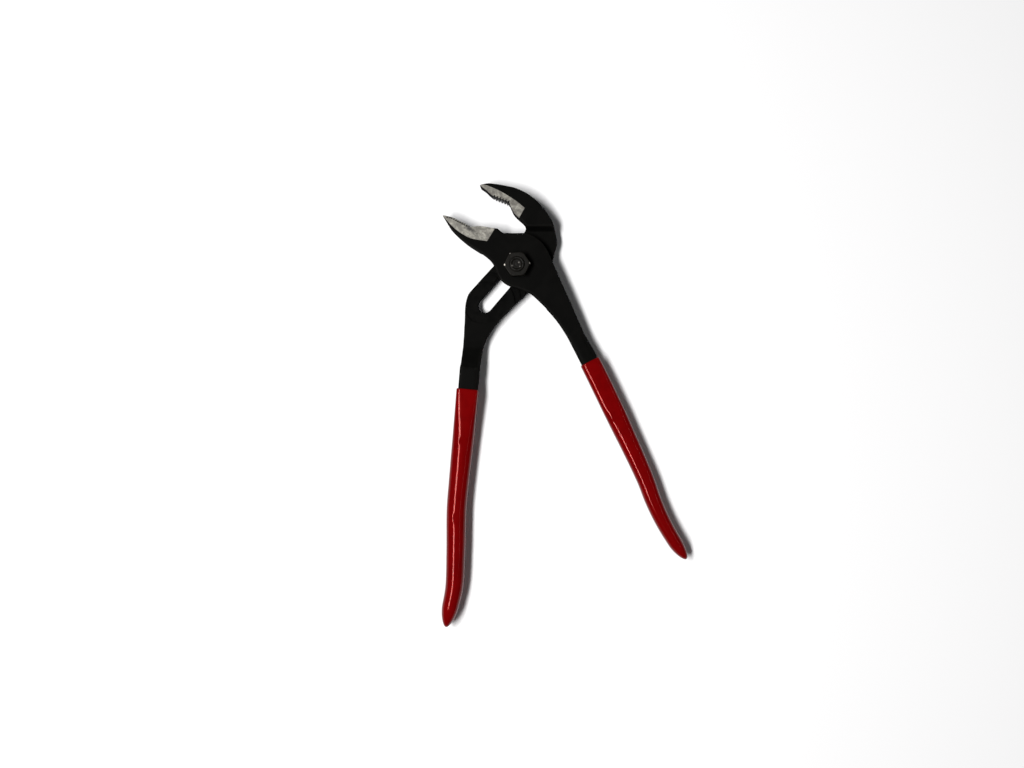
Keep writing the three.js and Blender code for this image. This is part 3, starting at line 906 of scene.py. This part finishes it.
def gripTree():
    # a dipped sleeve swept down a line: inner wall, rolled mouth, outer wall, closed tip
    tree, given, made = newTree("dippedGrip", [
        ("Thickness", "Float", 0.0114), ("Wall", "Float", 0.001), ("Lip", "Float", 0.001),
        ("Tip Length", "Float", 0.012), ("Tip Fullness", "Float", 2.0), ("Middle", "Float", 0.0),
        ("Along", "Int", 400), ("Around", "Int", 72), ("Inner Share", "Float", 0.2),
        ("Lump Height", "Float", 0.0001), ("Lump Size", "Float", 0.012), ("Seed", "Float", 0.0),
        ("Drips", "Object", None), ("Drip Radius", "Float", 0.002), ("Drip Height", "Float", 0.0003),
        ("Material", "Material", None)])
    put = given.outputs
    line = addNode(tree, "GeometryNodeMeshToCurve", {"Mesh": put["Geometry"]})
    length = addNode(tree, "GeometryNodeCurveLength", {0: line.outputs[0]}).outputs[0]
    sheet = addNode(tree, "GeometryNodeMeshGrid", {
        "Size X": 1.0, "Size Y": 1.0, "Vertices X": put["Along"],
        "Vertices Y": plus(tree, put["Around"], 1.0)})
    spot = addNode(tree, "ShaderNodeSeparateXYZ", {0: addNode(tree, "GeometryNodeInputPosition").outputs[0]})
    u = plus(tree, spot.outputs[0], 0.5)
    turn = times(tree, spot.outputs[1], 2 * math.pi)
    inside = maths(tree, "LESS_THAN", u, put["Inner Share"])
    outerShare = over(tree, minus(tree, u, put["Inner Share"]), minus(tree, 1.0, put["Inner Share"]))
    innerShare = over(tree, minus(tree, put["Inner Share"], u), put["Inner Share"])
    innerLength = minus(tree, length, put["Wall"])
    outerRun = times(tree, outerShare, length)
    innerRun = times(tree, innerShare, innerLength)

    def pick(yes, no):
        return plus(tree, times(tree, yes, inside), times(tree, no, minus(tree, 1.0, inside)))

    def bulge(value, square):
        return times(tree, maths(tree, "SIGN", value),
                     maths(tree, "POWER", maths(tree, "ABSOLUTE", value), square))

    run = pick(innerRun, outerRun)
    reach = pick(innerLength, length)
    # the mouth rolls over a lip, from the wall's inside to its outside
    lipShare = minus(tree, 1.0, over(tree, outerRun, put["Lip"], clamp=True))
    lipOut = maths(tree, "SQRT", minus(tree, 1.0, times(tree, lipShare, lipShare), clamp=True))
    inset = times(tree, put["Wall"], pick(1.0, minus(tree, 1.0, lipOut)))
    left = over(tree, minus(tree, reach, run), put["Tip Length"], clamp=True)
    spent = maths(tree, "POWER", minus(tree, 1.0, left, clamp=True), put["Tip Fullness"])
    pinch = maths(tree, "POWER", minus(tree, 1.0, spent, clamp=True), over(tree, 1.0, put["Tip Fullness"]))
    section = addNode(tree, "GeometryNodeInputNamedAttribute", {"Name": "section"}, data_type="FLOAT_VECTOR")
    sample = addNode(tree, "GeometryNodeSampleCurve", {"Curves": line.outputs[0], "Length": run},
                     mode="LENGTH", data_type="FLOAT_VECTOR")
    tree.links.new(section.outputs[0], sample.inputs["Value"])
    half, square = addNode(tree, "ShaderNodeSeparateXYZ", {0: sample.outputs["Value"]}).outputs[:2]
    rise = minus(tree, times(tree, put["Thickness"], 0.5), inset)
    across = times(tree, bulge(maths(tree, "COSINE", turn), square),
                   times(tree, pinch, minus(tree, half, inset)))
    up = times(tree, bulge(maths(tree, "SINE", turn), square), times(tree, pinch, rise))
    side = vectors(tree, "NORMALIZE", vectors(tree, "CROSS_PRODUCT", sample.outputs["Tangent"], (0, 0, 1)))
    outward = vectors(tree, "ADD", vectors(tree, "SCALE", side, scale=across), vectorOf(tree, 2, up))
    centre = vectors(tree, "ADD", sample.outputs["Position"], vectorOf(tree, 2, put["Middle"]))
    skin = vectors(tree, "ADD", centre, outward)
    # slow lumps all over, and a small swelling at each drip
    lumps = addNode(tree, "ShaderNodeTexNoise", {
        "Vector": vectors(tree, "ADD", skin, vectorOf(tree, 0, put["Seed"])),
        "Scale": over(tree, 1.0, put["Lump Size"]), "Detail": 1.5, "Roughness": 0.5}).outputs["Fac"]
    drips = addNode(tree, "GeometryNodeObjectInfo", {"Object": put["Drips"]}).outputs["Geometry"]
    near = addNode(tree, "GeometryNodeProximity", {"Target": drips, "Source Position": skin},
                   target_element="POINTS").outputs["Distance"]
    closeness = over(tree, near, put["Drip Radius"])
    fade = maths(tree, "EXPONENT", times(tree, times(tree, closeness, closeness), -1.0))
    swell = times(tree, minus(tree, lumps, 0.62), put["Lump Height"])
    extra = times(tree, plus(tree, swell, times(tree, put["Drip Height"], fade)),
                  times(tree, pinch, minus(tree, 1.0, inside)))
    raised = vectors(tree, "SCALE", vectors(tree, "NORMALIZE", outward), scale=extra)
    final = vectors(tree, "ADD", skin, raised)
    shape = sheet.outputs[0]
    for kind, inputs in (("SetPosition", {"Position": final}), ("MergeByDistance", {"Distance": 2e-6}),
                         ("SetShadeSmooth", {"Shade Smooth": True})):
        shape = addNode(tree, "GeometryNode" + kind, {"Geometry": shape, **inputs}).outputs[0]
    return endTree(tree, shape, put["Material"], made)


dippedGrip = gripTree()
gripLook = {
    "lip": 1.1, "tipFullness": 1.75, "along": 430, "around": 84, "innerShare": 0.22,
    "lumpHeight": 0.16, "lumpSize": 16.0, "dripRadius": 1.25, "dripHeight": 0.24,
    "slottedDrips": [(-37.5 - 0.02 * k, -143.2 - 1.1 * k, 14.6) for k in range(4)]
    + [(-34.0, -100.0, 14.6), (-34.1, -101.1, 14.6), (-38.2, -203.0, 4.5)],
    "tongueDrips": [(53.2 + 0.45 * k, -84.6 - 0.95 * k, 14.7) for k in range(4)] + [(70.0, -124.0, 4.2)],
}


def makeGrip(name, stations, drips, seed, body, node):
    line = handleLine(stations, 1)
    grip = lineObject(name, line[:, :2], 0)
    section = grip.data.attributes.new("section", "FLOAT_VECTOR", "POINT")
    values = np.stack([line[:, 2] * mm, line[:, 3], np.zeros(len(line))], 1)
    section.data.foreach_set("vector", values.astype(np.float32).ravel())
    spots = newPiece("drips", drips, [])
    sizes = {
        "Thickness": handles["thickness"], "Wall": handles["wall"], "Lip": gripLook["lip"],
        "Tip Length": handles["tipLength"], "Middle": middle, "Lump Height": gripLook["lumpHeight"],
        "Lump Size": gripLook["lumpSize"], "Drip Radius": gripLook["dripRadius"],
        "Drip Height": gripLook["dripHeight"]}
    runTree(grip, dippedGrip, {
        **{label: size * mm for label, size in sizes.items()}, "Tip Fullness": gripLook["tipFullness"],
        "Along": gripLook["along"], "Around": gripLook["around"], "Inner Share": gripLook["innerShare"],
        "Seed": seed, "Drips": spots, "Material": redVinyl})
    bpy.data.objects.remove(spots)
    sureOutwards(grip)
    finishPiece(grip, body, node)


makeGrip("slottedArmGrip", handles["slotted"], gripLook["slottedDrips"], 0.31, "slotted_arm",
         "slotted_arm_grip")
makeGrip("tongueArmGrip", handles["tongue"], gripLook["tongueDrips"], 0.77, "tongue_arm", "tongue_arm_grip")

bolt = {
    "radius": 4.0, "flats": 7.0, "head": 7.5, "headHeight": 3.0, "dish": 0.5, "around": 96,
    # profiles: out from the radius and up from the face that makeBolt names beside each
    "headFace": [(0, 0.18), (2.0, 0.16), (4.5, 0.05), (5.4, 0.0)],
    "headRim": [(-1.3, 0.0), (-0.75, 0.1), (-0.3, 0.42), (-0.07, 0.85), (0, 1.3)],
    "headTop": [(0, -0.35), (-0.1, -0.1), (-0.35, 0)],
    "rivetFoot": [(0, -0.1), (0.35, 0.02), (0.42, 0.22)],
    "rivetTop": [(0.28, -0.32), (-0.05, -0.08), (-0.5, 0), (-0.95, -0.06), (-1.25, -0.28), (-1.5, -0.52)],
    "rivetDish": [(-2.0, 0), (-2.6, -0.06), (-3.3, -0.02), (-4.0, 0)],
    "neck": 0.4, "shankStart": 1.5, "flatLength": 9, "step": 0.22, "markDepth": 0.08, "markSize": 0.55,
    "marks": [(3.1, 0.5), (1.9, 2.6), (-1.1, 3.0), (-3.0, 1.2), (-2.6, -1.9), (0.4, -3.1), (2.7, -1.8)],
    # painted highlights on the riveted end, pale spots where the lights glint: x, y and size
    "spots": [(-2.75, -1.1, 0.35), (1.0, 0.75, 0.33), (1.6, -1.5, 0.25)], "paintedGlintAndWear": 0.22,
}


def turned(name, profile, around, material):
    # a closed piece turned about the bolt's axis; profile runs up it, starting and ending on the axis
    vertices, faces = [(0, 0, profile[0][1])], []
    for r, z in profile[1:-1]:
        vertices += [(r * math.cos(2 * math.pi * k / around), r * math.sin(2 * math.pi * k / around), z)
                     for k in range(around)]
    vertices.append((0, 0, profile[-1][1]))
    rings = len(profile) - 2
    for k in range(around):
        n = (k + 1) % around
        faces.append((0, 1 + n, 1 + k))
        for r in range(rings - 1):
            a = 1 + r * around
            faces.append((a + k, a + n, a + around + n, a + around + k))
        a = 1 + (rings - 1) * around
        faces.append((a + k, a + n, len(vertices) - 1))
    return newPiece(name, vertices, faces, material)


def profileFrom(radius, height, steps):
    return [(radius + out, height + up) for out, up in steps]


def makeBolt():
    r, head, high, top, around = bolt["radius"], bolt["head"], bolt["headHeight"], boltTop, bolt["around"]
    neck = r - bolt["neck"]
    headProfile = (bolt["headFace"] + profileFrom(head, 0, bolt["headRim"])
                   + profileFrom(head, high, bolt["headTop"]) + [(neck, high), (neck, high + 0.4), (0, high + 0.4)])
    piece = turned("pivotBolt", headProfile, around, boltSteel)
    start = bolt["shankStart"]
    shank = turned("shank", [(0, start), (r, start), (r, tongueArmBack), (0, tongueArmBack)], around, boltSteel)
    along, across = slotLine, np.array([-slotLine[1], slotLine[0]])
    flat = [along * bolt["flatLength"] * a + across * bolt["flats"] / 2 * b
            for a, b in ((1, 1), (-1, 1), (-1, -1), (1, -1))]
    combine(shank, prism("flats", outlineOf(flat), 0, tongueArmBack + 0.001, boltSteel), "INTERSECT")
    combine(piece, shank, "UNION")
    low, inside = tongueArmBack - 0.02, r - 0.02
    rivetProfile = ([(0, low), (inside, low), (r, tongueArmBack + 0.05)]
                    + profileFrom(r, nutTop, bolt["rivetFoot"]) + profileFrom(r, top, bolt["rivetTop"])
                    + profileFrom(r, top - bolt["dish"], bolt["rivetDish"]))
    fine = [rivetProfile[0]]
    for a, b in zip(rivetProfile[:-1], rivetProfile[1:]):
        count = max(1, round(math.dist(a, b) / bolt["step"])) if b[1] > nutTop - 0.2 else 1
        fine += [(a[0] + (b[0] - a[0]) * k / count, a[1] + (b[1] - a[1]) * k / count)
                 for k in range(1, count + 1)]
    rivet = turned("rivet", fine, around, boltSteel)
    hammer(rivet)
    combine(piece, rivet, "UNION")
    places = coordinates(piece.data) / mm
    radius = np.hypot(places[:, 0], places[:, 1])
    worn = np.where((places[:, 2] > nutTop) & (np.abs(radius - r + 0.4) < 0.5), 0.1, 0.0)
    setAttribute(piece, "wear", np.where((places[:, 2] < 0.9) & (radius > 6.4), 0.7, worn))
    # painted highlights: pale spots on the riveted end, where the lights would glint on it
    paintedGlintAndWear = np.zeros(len(places))
    for x, y, size in bolt["spots"]:
        away = (places[:, 0] - x) ** 2 + (places[:, 1] - y) ** 2
        paintedGlintAndWear = np.maximum(paintedGlintAndWear, np.exp(-away / size ** 2) * (places[:, 2] > nutTop) * bolt["paintedGlintAndWear"])
    setAttribute(piece, "paintedGlintAndWear", paintedGlintAndWear)
    shadeByAngle(piece, 28)
    finishPiece(piece, "pivot", "pivot_bolt")


def hammer(rivet):
    # shallow peening marks round the riveted end
    places = coordinates(rivet.data)
    depth, size = bolt["markDepth"], bolt["markSize"]
    for x, y in bolt["marks"]:
        away = np.hypot(places[:, 0] / mm - x, places[:, 1] / mm - y)
        sunk = depth * np.exp(-(away / size) ** 2) * mm
        places[:, 2] -= np.where(places[:, 2] / mm > nutTop + 0.3, sunk, 0)
    moveTo(rivet, places)


makeBolt()

nut = {
    "acrossFlats": 13.0, "turn": 4.0, "bore": 4.07, "chamfer": 0.8, "edge": 0.2, "voxel": 0.11, "rounds": 3,
    "outset": 0.6, "lowChamfer": 0.75, "lowInset": 0.15, "highOutset": 0.25, "lowMouth": 0.4, "highMouth": 0.3,
    "swell": 0.02, "swellSize": 1.6, "seed": 3,
    # rubbed corners, painted palest on the corner toward the key light as a highlight: direction in degrees,
    # strength and size
    "paintedGlintAndWear": ((184, 1.0, 0.62), (124, 0.3, 0.5), (4, 0.3, 0.55)),
}


def makeNut():
    corner = nut["acrossFlats"] / 2 / math.cos(math.radians(30))
    turns = np.radians(nut["turn"] + 60 * np.arange(6))
    hexagon = np.stack([corner * np.cos(turns), corner * np.sin(turns)], 1)
    piece = prism("pivotNut", hexagon, nutSeat, nutTop, boltSteel)
    flat, bore, low, high = nut["acrossFlats"] / 2, nut["bore"], nut["lowMouth"], nut["highMouth"]
    wide = corner + nut["outset"]
    combine(piece, turned("cone", [
        (0, nutSeat - spare), (flat - nut["lowInset"], nutSeat - spare), (wide, nutSeat + nut["lowChamfer"]),
        (wide, nutTop - nut["chamfer"]), (flat + nut["highOutset"], nutTop + spare), (0, nutTop + spare)],
        144, boltSteel), "INTERSECT")
    combine(piece, turned("bore", [
        (0, nutSeat - through), (bore + (low + through), nutSeat - through), (bore, nutSeat + low),
        (bore, nutTop - high), (bore + (high + through), nutTop + through), (0, nutTop + through)],
        72, boltSteel))
    rounding = piece.modifiers.new("rounding", "BEVEL")
    rounding.width = nut["edge"] * mm
    rounding.segments = 3
    rounding.limit_method = "ANGLE"
    rounding.angle_limit = math.radians(24)
    settle(piece)
    remesh(piece, nut["voxel"])
    relax(piece, nut["rounds"])
    markWear(piece, 8, 0.03)
    roughen(piece, nut["swell"], nut["swellSize"], nut["seed"])
    places = coordinates(piece.data) / mm
    # rubbed corners with painted highlights: the corner facing the light is painted palest
    paintedGlintAndWear = np.zeros(len(places))
    for degrees, strength, size in nut["paintedGlintAndWear"]:
        at = (corner - 0.25) * np.array([math.cos(math.radians(degrees)), math.sin(math.radians(degrees))])
        away = np.linalg.norm(places - np.array([at[0], at[1], nutTop - nut["chamfer"] + 0.25]), axis=1)
        paintedGlintAndWear = np.maximum(paintedGlintAndWear, strength * np.clip(1.5 - away / size, 0, 1))
    setAttribute(piece, "paintedGlintAndWear", paintedGlintAndWear)
    finishPiece(piece, "pivot", "pivot_nut")


makeNut()

studio = {
    "floor": (0.86, 0.86, 0.87), "floorRough": 0.95, "floorSize": 3000,
    "world": 0.02, "sky": (0.96, 0.98, 1.0, 1),
    # each light: power, width, length, distance, tilt from overhead and turn about Z, colour
    "keyLight": (34.5, 0.25, 0.84, 1.6, 21.0, 187.0, (1.0, 0.995, 0.985)),
    "sideLight": (0.9, 0.03, 0.8, 1.1, 36, 8, (1, 1, 1)),
}
cameraSet = {"sensor": 36, "lens": 39.57, "shift": (-0.0518, 0.0205), "place": (0.02717, -0.07992),
             "height": 0.65}


def makeFloor():
    size = studio["floorSize"]
    floor = newPiece("floor", [(-size, -size, 0), (size, -size, 0), (size, size, 0), (-size, size, 0)],
                     [(0, 1, 2, 3)])
    constants = {"Base Color": (*studio["floor"], 1), "Roughness": studio["floorRough"],
                 "Specular IOR Level": 0.0}
    floor.data.materials.append(newMaterial("paleFloor", constants)[0])


def areaLight(name):
    # a soft box aimed at the object's middle
    power, width, length, distance, tilt, turn, colour = studio[name]
    light = bpy.data.lights.new(name, "AREA")
    light.shape = "RECTANGLE"
    light.size, light.size_y = width, length
    light.energy = power
    light.color = colour
    made = bpy.data.objects.new(name, light)
    aim = Vector(((cadLow.x + cadHigh.x) / 2, (cadLow.y + cadHigh.y) / 2, 0))
    t, a = math.radians(tilt), math.radians(turn)
    back = Vector((math.sin(t) * math.cos(a), math.sin(t) * math.sin(a), math.cos(t)))
    made.location = aim + back * distance
    across = Vector((math.cos(t) * math.cos(a), math.cos(t) * math.sin(a), -math.sin(t)))
    along = back.cross(across)
    made.rotation_mode = "QUATERNION"
    made.rotation_quaternion = Matrix((across, along, back)).transposed().to_quaternion()
    scene.collection.objects.link(made)


def makeStudio():
    makeFloor()
    areaLight("keyLight")
    areaLight("sideLight")
    world = bpy.data.worlds.new("studio")
    world.use_nodes = True
    background = world.node_tree.nodes["Background"]
    background.inputs["Color"].default_value = studio["sky"]
    background.inputs["Strength"].default_value = studio["world"]
    scene.world = world
    scene.view_settings.view_transform = "Standard"


def makeCamera():
    camera = bpy.data.cameras.new("camera")
    camera.sensor_width = cameraSet["sensor"]
    camera.lens = cameraSet["lens"]
    camera.shift_x, camera.shift_y = cameraSet["shift"]
    made = bpy.data.objects.new("camera", camera)
    made.location = (*cameraSet["place"], middle * mm + cameraSet["height"])
    scene.collection.objects.link(made)
    scene.camera = made


makeStudio()
makeCamera()
print("studio made")
